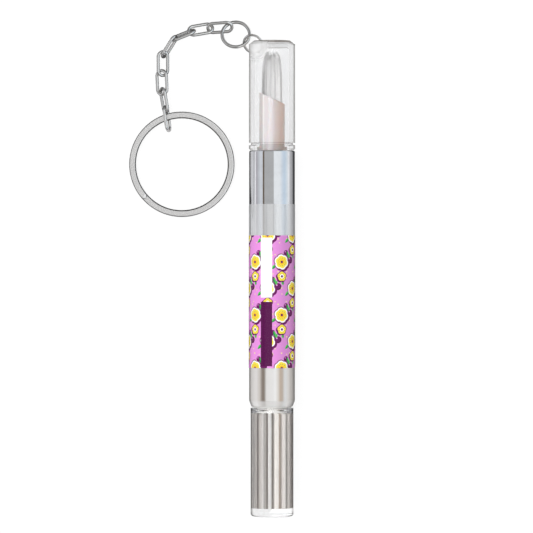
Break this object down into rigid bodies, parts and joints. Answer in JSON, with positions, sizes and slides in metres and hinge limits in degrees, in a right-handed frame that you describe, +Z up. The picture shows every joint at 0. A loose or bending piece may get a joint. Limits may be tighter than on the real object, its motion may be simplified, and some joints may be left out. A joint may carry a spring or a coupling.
{
  "type": "nail oil pen",
  "caption": "Twist-up nail oil pen with a slanted brush tip, clear pull-off cap, chrome collar, printed barrel film, clear knob and a keychain on the cap.",
  "frame": {"origin": "centre of the knob's end face, on the pen's axis", "axes": "+Y along the pen from the knob to the cap, +Z up from the table that the pen lies on, +X away from the side on which the keychain lies"},
  "size_m": [0.0441, 0.1317, 0.0123],
  "materials": {
    "clear_cap": "clear gloss styrene",
    "clear_knob": "clear gloss styrene",
    "clear_barrel": "pearly translucent gloss",
    "nut_plastic": "moulded gloss",
    "white_plastic": "moulded semi-gloss",
    "nozzle_plastic": "translucent natural plastic",
    "seal_rubber": "matte rubber",
    "printed_film": "printed glossy film with a frosted margin",
    "bristles": "fine nylon filament",
    "chrome": "mirror plated",
    "steel": "drawn tube",
    "ring_wire": "bright plated wire",
    "link_wire": "bright plated wire",
    "split_steel": "bright plated flat wire"
  },
  "bodies": {
    "pen": {"barrel": "clear_barrel", "label": "printed_film", "collar": "chrome", "nozzle": "nozzle_plastic", "plug_seal": "seal_rubber", "feed_tube": "steel", "brush_bush": "white_plastic", "brush_tuft": "bristles", "drive_nut": "nut_plastic"},
    "cap": {"cap": "clear_cap"},
    "knob": {"knob": "clear_knob", "ratchet_driver": "white_plastic"},
    "screw_rod": {"screw_rod": "white_plastic"},
    "piston": {"piston": "white_plastic"},
    "small_jump_ring": {"small_jump_ring": "ring_wire"},
    "large_jump_ring": {"large_jump_ring": "ring_wire"},
    "chain_link_1": {"chain_link_1": "link_wire"},
    "chain_link_2": {"chain_link_2": "link_wire"},
    "chain_link_3": {"chain_link_3": "link_wire"},
    "chain_link_4": {"chain_link_4": "link_wire"},
    "chain_link_5": {"chain_link_5": "link_wire"},
    "chain_link_6": {"chain_link_6": "link_wire"},
    "chain_link_7": {"chain_link_7": "link_wire"},
    "chain_link_8": {"chain_link_8": "link_wire"},
    "split_ring": {"split_ring": "split_steel"}
  },
  "joints": [
    {"name": "cap_pull", "type": "slide", "parent": "pen", "child": "cap", "axis": [0, 1, 0], "range_m": [0, 0.04]},
    {"name": "knob_turn", "type": "hinge", "parent": "pen", "child": "knob", "pos_m": [0, 0, 0], "axis": [0, 1, 0], "range_deg": [0, 5040]},
    {"name": "rod_feed", "type": "slide", "parent": "knob", "child": "screw_rod", "axis": [0, 1, 0], "range_m": [0, 0.0225]},
    {"name": "piston_feed", "type": "slide", "parent": "pen", "child": "piston", "axis": [0, 1, 0], "range_m": [0, 0.0225]},
    {"name": "small_ring_swing", "type": "hinge", "parent": "cap", "child": "small_jump_ring", "pos_m": [-0.00336, 0.1242, -0.00336], "axis": [0.4912, 0.7193, 0.4912], "range_deg": [-30, 10]},
    {"name": "large_ring_swing", "type": "hinge", "parent": "small_jump_ring", "child": "large_jump_ring", "pos_m": [-0.00681, 0.12633, -0.0038], "axis": [0, 0, -1], "range_deg": [-2, 15]},
    {"name": "link_1_swing", "type": "hinge", "parent": "large_jump_ring", "child": "chain_link_1", "pos_m": [-0.01195, 0.12893, -0.00466], "axis": [0, 0, -1], "range_deg": [-2, 15]},
    {"name": "link_2_swing", "type": "hinge", "parent": "chain_link_1", "child": "chain_link_2", "pos_m": [-0.01642, 0.12951, -0.00501], "axis": [0, 0, -1], "range_deg": [-2, 15]},
    {"name": "link_3_swing", "type": "hinge", "parent": "chain_link_2", "child": "chain_link_3", "pos_m": [-0.0213, 0.12848, -0.00472], "axis": [0, 0, -1], "range_deg": [-2, 15]},
    {"name": "link_4_swing", "type": "hinge", "parent": "chain_link_3", "child": "chain_link_4", "pos_m": [-0.02546, 0.12618, -0.00436], "axis": [0, 0, -1], "range_deg": [-2, 15]},
    {"name": "link_5_swing", "type": "hinge", "parent": "chain_link_4", "child": "chain_link_5", "pos_m": [-0.02816, 0.12241, -0.00452], "axis": [0, 0, -1], "range_deg": [-2, 15]},
    {"name": "link_6_swing", "type": "hinge", "parent": "chain_link_5", "child": "chain_link_6", "pos_m": [-0.02915, 0.11768, -0.00489], "axis": [0, 0, -1], "range_deg": [-2, 15]},
    {"name": "link_7_swing", "type": "hinge", "parent": "chain_link_6", "child": "chain_link_7", "pos_m": [-0.02899, 0.11277, -0.00473], "axis": [0, 0, -1], "range_deg": [-2, 15]},
    {"name": "link_8_swing", "type": "hinge", "parent": "chain_link_7", "child": "chain_link_8", "pos_m": [-0.02831, 0.10795, -0.00447], "axis": [0, 0, -1], "range_deg": [-2, 15]},
    {"name": "split_ring_swing", "type": "hinge", "parent": "chain_link_8", "child": "split_ring", "pos_m": [-0.02803, 0.10584, -0.00444], "axis": [0, 0, -1], "range_deg": [-5, 25]}
  ],
  "couplings": [
    {"joint": "rod_feed", "follows": "knob_turn", "m_per_rad": 0.00025465},
    {"joint": "piston_feed", "follows": "knob_turn", "m_per_rad": 0.00025465}
  ]
}
